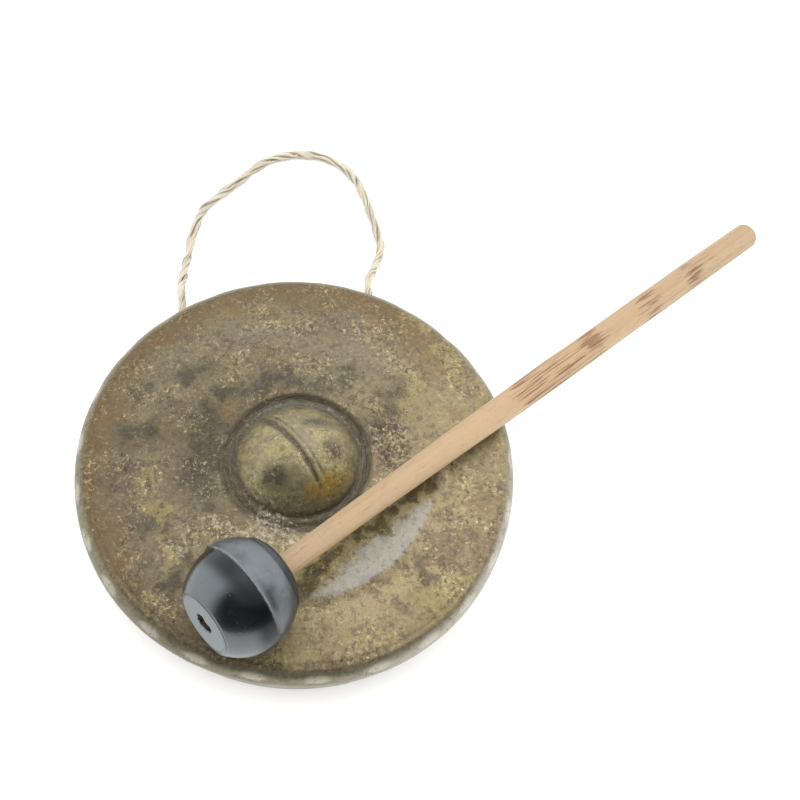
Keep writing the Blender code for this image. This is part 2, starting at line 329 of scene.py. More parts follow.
def make_knot(node, side, seed):
    """An overhand knot just inside the wall, with its loose tail and a few frayed strips."""
    t = np.linspace(-2, 2, 60)
    overhand = (1.35 * (t**3 - 3 * t) * side, 1.15 * (t**4 - 4 * t**2) + 2.3, 0.34 * (t**5 - 10 * t))
    shape = np.stack(overhand, 1)
    shape[:, 0] -= 0.4 * side
    tail = np.array([(2.4, 3.2, -5.6), (2.0, 2.6, -8.0), (0.6, 1.2, -10.6)])
    tail[:, 0] *= -side
    knot_frame = Matrix((HINGE_AXIS, CORD_OUT.cross(HINGE_AXIS), CORD_OUT)).transposed()
    middle = box_middle(node)
    pieces = []
    routes = [(np.concatenate([tail[::-1], shape]), 0.84)]
    for turn, thickness in ((0.5, 0.34), (2.4, 0.3), (4.3, 0.26)):
        spread = np.array((math.cos(turn), math.sin(turn), 0))
        strip = [tail[-1] + np.array((0, 0, 1.5)), tail[-1], tail[-1] + spread * 1.1 - (0, 0, 2.4)]
        routes.append((np.array([*strip, tail[-1] + spread * 2.6 - (0, 0, 4.6)]), thickness))
    for i, (route, thickness) in enumerate(routes):
        world = [middle + knot_frame @ Vector(point) * MM for point in route]
        path = smooth_curve([world[0] * 2 - world[1], *world, world[-1] * 2 - world[-2]], 0.5 * MM)
        part = f"strip_{i}" if i else "knot"
        piece = twisted_cord(f"{node}_{part}", path, seed + i, thickness)
        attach(piece, "gong")
        pieces.append(piece)
    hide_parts(node)
    return pieces


cord, cord_path = make_cord()
knots = make_knot("cord_knot_left", 1, SEED + 20) + make_knot("cord_knot_right", -1, SEED + 30)
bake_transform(cord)


# ---- gong, in millimetres

SHEET = 1.8
GONG_RADIUS = 100.0
RIM_DEPTH = 40.0
SHOULDER_RADIUS = 7.5
WALL_LEAN = math.radians(14)
BOSS_RADIUS = 27.5
BOSS_HEIGHT = 16.0
MOAT_LIFT = 0.2
PLATEAU_LIFT = 1.5
FACE_LIFT = 0.1
LIP_ROUND = 0.5
GONG_COLUMNS = 352
OUTER_STEP = 0.82
INNER_STEP = 1.7
EASING_STEP = 0.1
CORD_HOLE_RADIUS = 2.6
OVAL_COUNT = 25
WALL_FACETS = 46
ARC_MARKS = 15
ARC_RADII = (47.5, 54.0)
MOAT_GROOVES = (28.9, 30.1, 31.2)


def arc_points(centre, radius, start, end, steps):
    angle = np.linspace(start, end, steps + 1)
    return np.stack([centre[0] + radius * np.cos(angle), centre[1] + radius * np.sin(angle)], 1)


def sheet_side(inset):
    """One side of the gong's sheet, from the boss's top to the open edge."""
    base = RIM_DEPTH - inset
    floor = base + MOAT_LIFT
    rise = BOSS_HEIGHT - MOAT_LIFT
    dome = (BOSS_RADIUS**2 + rise**2) / (2 * rise)
    dome_centre = RIM_DEPTH + BOSS_HEIGHT - dome
    foot = math.asin((floor - dome_centre) / (dome - inset))
    shoulder = (GONG_RADIUS - SHOULDER_RADIUS, RIM_DEPTH - SHOULDER_RADIUS)
    bend = arc_points(shoulder, SHOULDER_RADIUS - inset, math.pi / 2, -WALL_LEAN, 24)
    edge_r = bend[-1, 0] - bend[-1, 1] * math.tan(WALL_LEAN)
    flat = [(30.5, floor), (33, base + PLATEAU_LIFT), (64, base + PLATEAU_LIFT), (69, base + FACE_LIFT)]
    return np.concatenate(
        [arc_points((0, dome_centre), dome - inset, math.pi / 2, foot, 40), flat, bend, [(edge_r, 0)]]
    )


def resample(points, step):
    travelled = distances_along(points)
    wanted = np.linspace(0, travelled[-1], round(travelled[-1] / step) + 1)
    return np.stack([np.interp(wanted, travelled, points[:, i]) for i in range(2)], 1)


def eased(points, sigma):
    """The same line with its corners rounded off, its two ends kept in place."""
    fine = resample(points, EASING_STEP)
    reach = int(3 * sigma / EASING_STEP)
    kernel = np.exp(-0.5 * (np.arange(-reach, reach + 1) * EASING_STEP / sigma) ** 2)
    kernel /= kernel.sum()
    start = 2 * fine[0] - fine[reach:0:-1]
    start[:, 1] = fine[reach:0:-1, 1]
    end = 2 * fine[-1] - fine[-2 : -reach - 2 : -1]
    padded = np.concatenate([start, fine, end])
    return np.stack([np.convolve(padded[:, i], kernel, "valid") for i in range(2)], 1)


def line_normals(points):
    """Unit normals on the left of a line that runs outward and down, so on the sheet's outer side."""
    along = np.gradient(points, axis=0)
    along /= np.linalg.norm(along, axis=1)[:, None]
    return np.stack([-along[:, 1], along[:, 0]], 1)


def dents(u, v, centres, radii, depths):
    """The depth of a field of soft round hammer marks at the points (u, v)."""
    total = np.zeros_like(u)
    for (cu, cv), radius, depth in zip(centres, radii, depths):
        near = (np.abs(u - cu) < radius) & (np.abs(v - cv) < radius)
        distance = np.hypot(u[near] - cu, v[near] - cv) / radius
        total[near] += depth * bump_shape(distance)
    return total


def scattered(pick, count, low, high):
    """Points spread evenly over a ring of the face."""
    r = np.sqrt(pick(low**2, high**2, count))
    turn = pick(0, math.tau, count)
    return np.stack([r * np.cos(turn), r * np.sin(turn)], 1)


def hammering(r, turn, z, outer):
    """How far the hammer has driven the sheet in at each point."""
    pick = np.random.default_rng(SEED + 1).uniform
    x, y = r * np.cos(turn), r * np.sin(turn)
    face = ramp(RIM_DEPTH - 9, RIM_DEPTH - 3, z)
    depth = np.zeros_like(r)

    def strewn(count, ring, radii, depths):
        """Hammer marks strewn over a ring of the face."""
        centres = scattered(pick, count, *ring)
        return dents(x, y, centres, pick(*radii, count), pick(*depths, count))

    depth += face * strewn(260, (34, 66), (3.0, 5.2), (0.04, 0.16))
    for i in range(2 * ARC_MARKS):
        angle = math.radians(-94 + 100 * (i % ARC_MARKS) / (ARC_MARKS - 1) + pick(-1.5, 1.5))
        reach = ARC_RADII[i // ARC_MARKS] + pick(-1.2, 1.2)
        centre = [(reach * math.cos(angle), reach * math.sin(angle))]
        depth += face * dents(x, y, centre, [pick(3.6, 4.8)], [pick(0.16, 0.3)])
    depth += face * strewn(420, (66, 97), (3.0, 7.0), (0.02, 0.09))
    depth += face * strewn(40, (0, 25), (3, 7), (0.03, 0.14))
    for i in range(OVAL_COUNT):
        across = angle_from(turn, oval_turn(i)) * 99
        facet = bump_shape(np.hypot(across / pick(7.5, 9), shoulder_way(r, z) / 4.6))
        depth += pick(0.08, 0.15) * facet
    for i in range(WALL_FACETS):
        centre = math.tau * (i + pick(-0.4, 0.4)) / WALL_FACETS
        across = angle_from(turn, centre) * 97
        facet = bump_shape(np.hypot(across / 6, (z - pick(4, 33)) / 5))
        depth += (1 - face) * pick(0.1, 0.25) * facet
    if not outer:
        depth += 0.4 * strewn(200, (0, 90), (4, 9), (-0.3, 0.1))
    return depth


def shoulder_way(r, z):
    """The distance down the shoulder from the middle of the ovals beaten into it."""
    turned = np.arctan2(r - GONG_RADIUS + SHOULDER_RADIUS, z - RIM_DEPTH + SHOULDER_RADIUS)
    return np.where(z > 12, SHOULDER_RADIUS * (turned - math.radians(57)), 99)


def oval_turn(i):
    """The azimuth of each of the ovals beaten along the shoulder."""
    return math.radians(-126 + 360 / OVAL_COUNT * i - math.sin(i * 1.1))


def warp(r, turn):
    """The sheet's slow unevenness: how far out of round it is, and how its face rolls."""
    out = ramp(45, 95, r)
    radial = out * (
        0.63 * np.cos(turn + 1.19) + 0.62 * np.cos(2 * turn + 3.1) + 0.26 * np.cos(3 * turn - 2.4)
        + 0.21 * np.cos(4 * turn - 2.39) + 0.25 * np.cos(5 * turn - 1.36)
    )
    x, y = r * np.cos(turn), r * np.sin(turn)
    lift = 0.22 * np.sin(x / 19 + 0.7) * np.cos(y / 23 - 0.4) + 0.12 * np.sin((x + y) / 11)
    return radial, lift * ramp(2, 20, r) * ramp(101, 88, r)


def boss_groove(x, y):
    """The shallow crease that runs across the boss, with a fainter one beside it."""
    start, end = np.array((-18.2, 18.8)), np.array((12.2, -17.6))
    along = (end - start) / np.linalg.norm(end - start)
    across = (x - start[0]) * along[1] - (y - start[1]) * along[0]
    t = ((x - start[0]) * along[0] + (y - start[1]) * along[1]) / np.linalg.norm(end - start)
    across = across + 1.6 * np.sin(t * 3.4) - 0.6
    window = ramp(-0.08, 0.15, t) * ramp(1.05, 0.85, t)
    wide = 2.0 - 1.1 * np.clip(t, 0, 1)
    return window * (hill(across / wide) + 0.45 * hill((across + 3.6) / 0.8))


def side_points(profile, outer, turn):
    """A side's rings of points, as rows of (x, y, z)."""
    normal = line_normals(profile)
    r = np.broadcast_to(profile[:, :1], (len(profile), len(turn)))
    z = np.broadcast_to(profile[:, 1:], r.shape)
    angle = np.broadcast_to(turn[None, :], r.shape)
    depth = hammering(r, angle, z, outer)
    radial, lift = warp(r, angle)
    if outer:
        near = 0.35 + 0.65 * ramp(-0.2, 0.5, -np.sin(angle))
        depth = depth + 0.45 * boss_groove(r * np.cos(angle), r * np.sin(angle))
        depth = depth + near * 0.32 * hill((r - 93.4) / 0.8) * (z > 30)
        depth = depth - near * 0.22 * hill((r - 95.2) / 0.7) * (z > 30)
        depth = depth - 0.2 * hill((r - 34.2) / 0.6) * (z > 30)
        for groove in MOAT_GROOVES:
            depth = depth + 0.09 * hill((r - groove) / 0.35) * (z > 30)
    depth = depth * ramp(0, 4, z)
    new_r = r - depth * normal[:, :1] + radial
    new_z = z - depth * normal[:, 1:] + lift * (z > RIM_DEPTH - 12)
    return np.stack([new_r * np.cos(angle), new_r * np.sin(angle), new_z], -1)


def make_gong():
    turn = circle(GONG_COLUMNS)
    sharp = eased(sheet_side(0), 0.7)
    soft = eased(sheet_side(0), 1.7)
    near_foot = ramp(35, 29, sharp[:, :1])
    outer = resample(soft * near_foot + sharp * (1 - near_foot), OUTER_STEP)
    inner = resample(eased(sheet_side(SHEET), 0.8), INNER_STEP)
    outer[-1, 1] = LIP_ROUND
    inner[-1, 1] = LIP_ROUND
    lip_out = (outer[-1, 0] - LIP_ROUND * 0.8, 0.0)
    lip_in = (inner[-1, 0] + LIP_ROUND * 0.8, 0.0)
    outer_rows = side_points(outer[1:], True, turn)
    inner_rows = side_points(inner[1:], False, turn)[::-1]
    lips = side_points(np.array([lip_out, lip_in]), False, turn)
    lips[..., 2] = 0.0
    rows = np.concatenate([outer_rows, lips, inner_rows])
    gong = capped_object("hammered_gong", rows, Matrix.Translation(GONG_AXIS), inverted=True)
    for end_node in ("cord_end_left", "cord_end_right"):
        cut_cord_hole(gong, strand_point(end_node, 0))
    return gong


def cut_cord_hole(gong, centre):
    bm = bmesh.new()
    bmesh.ops.create_cone(
        bm, cap_ends=True, segments=28, depth=12 * MM,
        radius1=CORD_HOLE_RADIUS * MM, radius2=CORD_HOLE_RADIUS * MM,
    )
    mesh = bpy.data.meshes.new("cutter")
    bm.to_mesh(mesh)
    bm.free()
    cutter = bpy.data.objects.new("cutter", mesh)
    bpy.context.scene.collection.objects.link(cutter)
    outward = CORD_OUT.to_track_quat("Z", "Y").to_matrix().to_4x4()
    cutter.matrix_world = Matrix.Translation(centre) @ outward
    hole = gong.modifiers.new("cord_hole", "BOOLEAN")
    hole.operation = "DIFFERENCE"
    hole.object = cutter
    apply_modifiers(gong)
    bpy.data.objects.remove(cutter)


def apply_modifiers(obj):
    bpy.context.view_layer.update()
    evaluated = obj.evaluated_get(bpy.context.evaluated_depsgraph_get())
    mesh = bpy.data.meshes.new_from_object(evaluated)
    old = obj.data
    obj.modifiers.clear()
    obj.data = mesh
    bpy.data.meshes.remove(old)


# ---- patina, with painted light, shade and reflections

# Patches of colour on the gong, each (x, y, half width, half height, strength), from its axis.
# Painted shadow and reflection of the mallet's handle: a row of dark marks just below it.
HANDLE_SHADOW_MARKS = ((6, -57), (12, -52), (19, -44), (27, -36), (35, -29), (42, -23), (50, -17), (58, -11))
PATCHES = {
    "dark": (
        (-25, 35, 5, 4.5, 0.9), (-15, 38, 6, 4.5, 0.95), (-5, 40, 5.5, 4.5, 0.9),
        (4, 40, 7, 5, 0.7), (16, 38, 7, 5, 0.6), (-33, 30, 5, 5, 0.9), (-42, 11, 7, 7, 0.8),
        (-36, 0, 4.5, 13, 0.9), (-71, 9, 10, 4.5, 0.7), (-77, -3, 6, 5, 0.65),
        (-50, 42, 12, 5, 0.65), (-72, 30, 5, 4.5, 0.6), (43, 33, 7, 12, 0.5),
        (34, 18, 9, 10, 0.5), (41, 4, 6, 6, 0.45), (-67, -37, 6, 6.5, 0.65), (-51, -60, 5, 5, 0.8),
        (-46, -49, 5, 5, 0.5), (-41, -15, 6, 8, 0.55), (-79, -16, 8, 9, 0.45),
        (57, -51, 3.5, 4, 0.7), (20, 44, 8, 5, 0.5), (-60, 24, 7, 4, 0.4),
        (-45, -4, 8, 12, 0.72), (-38, -22, 8, 7, 0.65), (-44, 22, 7, 7, 0.7),
    ),
    "rust": (
        (-65, 58, 6, 4, 0.9), (-35, 79, 7, 5, 0.8), (-23, 77, 10, 6, 0.6), (-88, 17, 6, 5, 0.8),
        (-35, 20, 4, 4, 0.9), (30, 78, 6, 5, 1), (49, 66, 6, 6, 0.8), (61, 55, 5, 8, 0.8),
        (71, 29, 6, 5, 0.7), (-74, -37, 4, 5, 0.9), (-70, -53, 4, 5, 0.9), (-44, -14, 3, 3, 0.8),
        (82, -19, 10, 10, 0.6), (-79, 36, 6, 18, 0.4), (7, 83, 13, 7, 0.45),
    ),
    "grey": (
        (-26, 65, 13, 8, 0.8), (-64, 44, 7, 6, 0.6), (24, 56, 16, 9, 0.8), (23, 76, 5, 4, 0.8),
        (-44, -27, 14, 13, 0.5), (-2, 60, 15, 6, 0.45),
    ),
    "khaki": (
        (-69, -13, 5, 8, 0.8), (-60, -30, 5, 10, 0.8), (-53, -46, 4, 9, 0.7), (-58, 32, 6, 5, 0.6),
        (50, 36, 5, 14, 0.8), (69, 60, 10, 14, 0.6), (64, -59, 18, 14, 0.6), (-57, -67, 5, 5, 0.7),
        (0, -90, 12, 4, 0.9), (-39, 44, 5, 5, 0.6), (30, -80, 20, 8, 0.4),
        (86, 40, 5, 11, 0.75), (93, 18, 4, 12, 0.6), (56, 78, 11, 5, 0.65),
    ),
    # painted shadow and reflection of the mallet's handle
    "handle_shadow": [(x, y, 4.2, 3.8, 0.9 - 0.1 * (i % 2)) for i, (x, y) in enumerate(HANDLE_SHADOW_MARKS)],
    "leopard": (
        (40, 16, 9, 12, 1.0), (44, 2, 8, 9, 0.9), (34, 30, 7, 7, 0.8), (22, 40, 9, 6, 0.6),
    ),
    "chalk": (
        (-31, -35, 4, 3, 0.9), (-14, -36, 9, 7, 0.6), (-46, -44, 4, 3, 0.8), (-41, -56, 3, 3, 0.5),
        (2, -42, 8, 5, 0.4),
    ),
}


def vertex_values(collection, key):
    values = np.empty(len(collection) * 3, np.float32)
    collection.foreach_get(key, values)
    return values.reshape(-1, 3).T.astype(float)


class Skin:
    """Where each of the gong's vertices lies, and which part of the gong it is on."""

    def __init__(self, gong):
        x, y, z = vertex_values(gong.data.vertices, "co") / MM
        up = vertex_values(gong.data.vertex_normals, "vector")[2]
        self.gong = gong
        self.x, self.y, self.z = x, y, z
        self.r = np.hypot(x, y)
        self.turn = np.arctan2(y, x)
        self.true_r = self.r - warp(self.r, self.turn)[0]
        self.on_face = (z > RIM_DEPTH - 12) & (up > -0.2)
        self.outside = np.where(z < 33, self.true_r > 91.3 + 0.245 * z, up > 0)
        self.inside = np.where(z < 33, ~self.outside, up < 0)
        self.drift_x = 2.6 * np.sin(y / 4.1 + 1.3 * np.sin(x / 6.3)) + 1.5 * np.sin((x + 2 * y) / 3.3)
        self.drift_y = 2.6 * np.sin(x / 4.7 + 1.1 * np.sin(y / 5.2)) + 1.5 * np.sin((2 * x - y) / 2.9)

    def paint(self, name, values):
        store(self.gong, name, values * self.on_face)

    def paint_outside(self, name, values):
        store(self.gong, name, values * self.outside)


def paint_patches(skin):
    x, y = skin.x + skin.drift_x, skin.y + skin.drift_y
    for name, patches in PATCHES.items():
        mask = np.zeros_like(x)
        for px, py, half_x, half_y, strength in patches:
            far = ((x - px) / half_x) ** 2 + ((y - py) / half_y) ** 2
            mask = np.maximum(mask, strength * np.exp(-0.8 * far))
        skin.paint(name, mask)


def paint_face(skin):
    """Painted light and shade over the face: lighter towards the lower right, darker towards the upper
    left, low on the left and beside the moat's left; its browner rim; and painted shade in the crease along
    the near shoulder.
    """
    r, turn = skin.r, skin.turn
    across = (0.8 * skin.x - 0.6 * skin.y) / 100
    # Painted shade: a dark line in the crease along the near shoulder.
    crease = hill((skin.true_r - 94.0 + 0.4 * np.sin(turn * 9)) / 1.2, (turn + 1.5) / 0.55)
    skin.paint("crease", crease)
    # Painted light: the face is made lighter towards the lower right, the side the light comes from.
    painted_light = ramp(-0.25, 0.75, across) * ramp(26, 42, r)
    skin.paint("painted_light", painted_light * (1 - 0.3 * ramp(74, 86, r)))
    shade = ramp(0.2, -0.8, across) * (1 - 0.45 * ramp(48, 60, r))
    shade = np.maximum(shade, 0.9 * hill((turn + 2.15) / 0.5) * ramp(62, 84, r))
    shade = np.maximum(shade, 1.7 * hill((skin.x + 43) / 9, (skin.y + 1) / 17))
    skin.paint("shade", shade)
    rim = ramp(78, 92, r) * (0.25 + 0.75 * ramp(-0.5, 0.5, np.sin(turn - 0.9)))
    store(skin.gong, "rim", rim)


def paint_crescent(skin):
    """The painted reflection lying in a curved band in front of the boss, and the hammered band inside it.
    """
    r, turn = skin.r, skin.turn
    lean = np.degrees(turn)
    inner_edge = 50.5 + 13 * ((lean + 48) / 34) ** 2
    outer_edge = 67.2 - 0.058 * (lean + 87)
    wavy = r + 0.55 * skin.drift_x + 0.8 * np.sin(turn * 31)
    # Painted reflection, bluish grey, on the step round the plateau.
    crescent_reflection = ramp(inner_edge - 4.5, inner_edge + 4.5, wavy)
    crescent_reflection *= ramp(outer_edge + 1.8, outer_edge - 1.6, r)
    skin.paint("crescent_reflection", crescent_reflection * (np.abs(lean + 48) < 40))
    hammered = ramp(40, 46, r) * ramp(inner_edge + 1, inner_edge - 3, r) * (r < 62)
    skin.paint("hammered", hammered * ramp(-96, -84, lean) * ramp(4, -12, lean))


def paint_boss(skin):
    """The boss with its groove, dark spots and golden patch, the sheen at its foot, and the moat, darkened
    partly by grime and partly by painted shade and dark reflection.
    """
    x, y, r, turn = skin.x, skin.y, skin.r, skin.turn
    # Painted shade and dark reflection: the moat's dark band reaches further out on the near side.
    below = ramp(-0.2, 0.9, -np.sin(turn + 0.5))
    moat = ramp(26.0, 28.2, r) * ramp(34.5 + 3 * below, 32.0 + 2.4 * below, r)
    skin.paint("moat", moat)
    spots = np.maximum(hill((x + 9.6) / 5.6, (y + 14.1) / 5.0), hill((x - 14.8) / 4.6, (y - 0.4) / 5.4))
    spots = np.maximum(spots, 0.75 * hill((x - 8) / 7.5, (y - 13) / 3.6))
    skin.paint("boss_dark", np.maximum(0.95 * (boss_groove(x, y) * (r < 27)), 0.9 * spots))
    skin.paint("boss", ramp(28.0, 25.5, r))
    gold_along = 0.87 * (x - 12) + 0.49 * (y + 16)
    gold_across = 0.87 * (y + 16) - 0.49 * (x - 12)
    skin.paint("boss_gold", hill(gold_along / 11, gold_across / 4.8) * ramp(27.5, 25, r))
    skin.paint("sheen", 0.8 * (hill((r - 26.8) / 2.9) * ramp(0.1, 0.9, np.sin(turn - 0.25))))


def paint_rim(skin):
    """The ovals beaten along the shoulder, the grey wall, a painted highlight along the near shoulder and
    the sheet's inner side.
    """
    z, turn, true_r = skin.z, skin.turn, skin.true_r
    oval = np.zeros_like(z)
    for i in range(OVAL_COUNT):
        across = angle_from(turn, oval_turn(i)) * 99
        oval = np.maximum(oval, ramp(1.2, 0.7, np.hypot(across / 5.6, shoulder_way(true_r, z) / 2.3)))
    skin.paint_outside("oval", oval)
    wall = ramp(RIM_DEPTH - 0.3, RIM_DEPTH - 1.8, z)
    skin.paint_outside("wall", wall * ramp(93, 96, true_r + 0.25 * (RIM_DEPTH - z)))
    # Painted highlight on the near shoulder.
    shoulder_highlight = ramp(39.6, 37.6, z) * ramp(27, 33, z) * np.exp(-(((turn + 0.62) / 0.62) ** 4))
    skin.paint_outside("shoulder_highlight", shoulder_highlight)
    store(skin.gong, "inside", skin.inside)


def paint_gong(gong):
    """Stores where each colour of the patina lies, and where light, shade and reflections are painted, as
    attributes that the material breaks up.
    """
    skin = Skin(gong)
    paint_patches(skin)
    paint_face(skin)
    paint_crescent(skin)
    paint_boss(skin)
    paint_rim(skin)
    polar = gong.data.attributes.new("polar", "FLOAT_VECTOR", "POINT")
    places = np.stack([skin.r, 30 * skin.turn, skin.z], 1).astype(np.float32)
    polar.data.foreach_set("vector", places.ravel() * MM)


# ---- mallet, in millimetres

HEAD_RADIUS = 23.8
HEAD_HALF = 18.7
BORE_RADIUS = 4.4
HEAD_COLUMNS = 168
HALF_SHIFT = 0.55
FLASH_HEIGHT = 0.42
HANDLE_NECK_RADIUS = 4.85
HANDLE_RADIUS = 6.85
HANDLE_NECK_AT = 19.6
HANDLE_FULL_AT = 186.0
HANDLE_END_AT = 345.5
HANDLE_END_ROUND = 3.2
HANDLE_COLUMNS = 72
TENON_RADIUS = 4.05
TENON_RECESS = 1.9
# The bands of coarse grain along the handle, each (place, half width, strength).
COARSE_BANDS = ((168, 10, 1.0), (190, 16, 0.93), (214, 8, 1.0), (258, 9, 0.88), (292, 8, 0.82))


def turned_rows(profile, turn):
    """Rings (x, y, z) of a profile of (radius, height) points about +Z."""
    r = profile[:, :1] * np.ones_like(turn)[None, :]
    return np.stack([r * np.cos(turn), r * np.sin(turn), profile[:, 1:] + 0 * r], -1)


def head_profile():
    """The head's closed section from the handle's side over the ball to the front and down the bore."""
    flat_angle = math.asin(HEAD_HALF / HEAD_RADIUS)
    flat_radius = HEAD_RADIUS * math.cos(flat_angle)
    back = [(BORE_RADIUS + 0.4, HEAD_HALF), (flat_radius - 0.2, HEAD_HALF)]
    ball = arc_points((0, 0), HEAD_RADIUS, flat_angle - 0.012, -flat_angle + 0.012, 110)
    front = [
        (flat_radius - 0.2, -HEAD_HALF + 0.2), (flat_radius - 0.55, -HEAD_HALF + 0.55),
        (flat_radius - 0.95, -HEAD_HALF + 0.05), (BORE_RADIUS + 0.35, -HEAD_HALF),
        (BORE_RADIUS, -HEAD_HALF + 0.5),
    ]
    bore = [(BORE_RADIUS, HEAD_HALF - 0.4), back[0]]
    return resample(np.concatenate([back, ball, front, bore]), 0.5)


def make_head(matrix):
    """The rubber head, moulded in two halves that don't quite meet, with flash along the parting line."""
    pick = np.random.default_rng(SEED + 2).uniform
    turn = circle(HEAD_COLUMNS)
    rows = turned_rows(head_profile()[:-1], turn)
    x, y, z = rows[..., 0], rows[..., 1], rows[..., 2]
    r = np.hypot(x, y)
    angle = np.arctan2(y, x)
    skin = ramp(BORE_RADIUS + 1.5, BORE_RADIUS + 4, r)
    ragged = sum(
        pick(0.3, 1) * np.cos(k * angle + pick(0, math.tau)) / k**0.6
        for k in range(2, 13)
    )
    flash = FLASH_HEIGHT * hill(z / 0.42) * (1 + 0.55 * ragged / 1.6)
    groove = 0.16 * hill((z - 1.9) / 1.1)
    flange = 0.5 * hill((z - 16.7) / 1.0) - 0.5 * hill((z - 14.9) / 0.55)
    swell = 0.1 * np.sin(3 * angle + 0.4) * np.cos(z / 9)
    grow = 1 + (flash - groove + flange + swell) * skin / HEAD_RADIUS
    front_side = ramp(0.35, -0.35, z)
    shift = HALF_SHIFT * (1 - 2 * front_side) * skin
    hole = ramp(BORE_RADIUS + 1.2, BORE_RADIUS, r) * ramp(-14, -18.2, z)
    bore = 1 + 0.11 * ragged * hole * 0.6
    rows = np.stack([x * grow * bore + shift, y * grow * bore - 0.35 * shift, z], -1) * MM
    verts = rows.reshape(-1, 3)
    around = grid_faces(len(rows) + 1, HEAD_COLUMNS)
    faces = [[i % len(verts) for i in reversed(face)] for face in around]
    head = new_object("rubber_head", verts.tolist(), faces, matrix)
    paint_head(head, verts / MM)
    return head


def paint_head(head, places):
    """Stores where the head's flat, the painted shade in the groove round it, its rear edge, halves and
    flash are.
    """
    z = places[:, 2]
    radius = np.hypot(places[:, 0], places[:, 1])
    on_front = ramp(-HEAD_HALF + 0.6, -HEAD_HALF + 0.15, z)
    flat = on_front * ramp(13.6, 13.2, radius) * (radius > BORE_RADIUS + 0.3)
    store(head, "front_flat", flat)
    # Painted shade in the groove round the front flat.
    store(head, "flat_groove_shade", hill((radius - 14.1) / 0.7) * (z < 1 - HEAD_HALF))
    store(head, "burnished", ramp(-13, -3.5, z) * (z < -0.2))
    store(head, "rear_edge", ramp(12.8, 15.2, z))
    store(head, "rear_half", ramp(0.0, 1.2, z))
    store(head, "flash", hill(z / 0.5) * (radius > 20))


def make_handle(matrix):
    """The whittled handle, from the tenon's end inside the head to its rounded free end."""
    pick = np.random.default_rng(SEED + 3).uniform
    tenon_end = -HEAD_HALF + TENON_RECESS
    tenon = [(0.01, tenon_end), (TENON_RADIUS - 0.6, tenon_end), (TENON_RADIUS, tenon_end + 0.6)]
    tenon += [(TENON_RADIUS, HEAD_HALF + 0.2), (HANDLE_NECK_RADIUS, HEAD_HALF + 0.9)]
    body = [(HANDLE_RADIUS, HANDLE_FULL_AT)]
    end_middle = (HANDLE_RADIUS - HANDLE_END_ROUND, HANDLE_END_AT - HANDLE_END_ROUND)
    end = arc_points(end_middle, HANDLE_END_ROUND, 0, math.pi / 2, 10)
    profile = resample(np.concatenate([tenon, body, end, [(0.01, HANDLE_END_AT)]]), 0.85)
    turn = circle(HANDLE_COLUMNS)
    rows = turned_rows(profile, turn)
    z = rows[..., 2]
    angle = turn[None, :]
    shave = np.zeros_like(z)
    for _ in range(26):
        centre, width = pick(0, math.tau), pick(0.25, 0.5)
        low = pick(20, 300)
        high = low + pick(40, 130)
        across = angle_from(angle, centre) / width
        window = ramp(low, low + 12, z) * ramp(high, high - 12, z)
        shave += pick(0.03, 0.11) * bump_shape(np.abs(across)) * window
    bow = 0.35 * np.sin(math.pi * (z - HANDLE_NECK_AT) / (HANDLE_END_AT - HANDLE_NECK_AT))
    wave = 0.07 * np.sin(z / 21 + 2 * angle) + 0.05 * np.sin(z / 9.5 + angle + 1)
    free = ramp(20, 32, z)
    scale = 1 + free * (wave - shave) / HANDLE_RADIUS
    rows[..., 0] = rows[..., 0] * scale + bow * free
    rows[..., 1] = rows[..., 1] * scale
    handle = capped_object("whittled_handle", rows, matrix, inverted=False)
    along = np.r_[z.ravel(), rows[0].mean(0)[2], rows[-1].mean(0)[2]]
    grain = sum(strength * hill((along - place) / width) for place, width, strength in COARSE_BANDS)
    store(handle, "open_grain", np.maximum(grain, 0.18 * ramp(120, 180, along)))
    return handle


# ---- materials

class Nodes:
    """A node tree that is built a node at a time."""

    def __init__(self, tree):
        self.tree = tree

    def node(self, kind, inputs=(), **settings):
        """Adds a node with its inputs linked or set, and gives its outputs."""
        node = self.tree.nodes.new("ShaderNode" + kind)
        for key, value in settings.items():
            setattr(node, key, value)
        for socket, value in dict(inputs).items():
            self.feed(node.inputs[socket], value)
        return node.outputs

    def feed(self, socket, value):
        if isinstance(value, bpy.types.NodeSocket):
            self.tree.links.new(value, socket)
        else:
            socket.default_value = value

    def step(self, value, low, high, to_low=0.0, to_high=1.0):
        inputs = {"Value": value, "From Min": low, "From Max": high, "To Min": to_low, "To Max": to_high}
        return self.node("MapRange", inputs, interpolation_type="SMOOTHSTEP")["Result"]

    def math(self, operation, a, b=0.0):
        return self.node("Math", {0: a, 1: b}, operation=operation)[0]

    def times(self, a, b):
        return self.math("MULTIPLY", a, b)

    def plus(self, a, b):
        return self.math("ADD", a, b)

    def minus(self, a, b):
        return self.math("SUBTRACT", a, b)


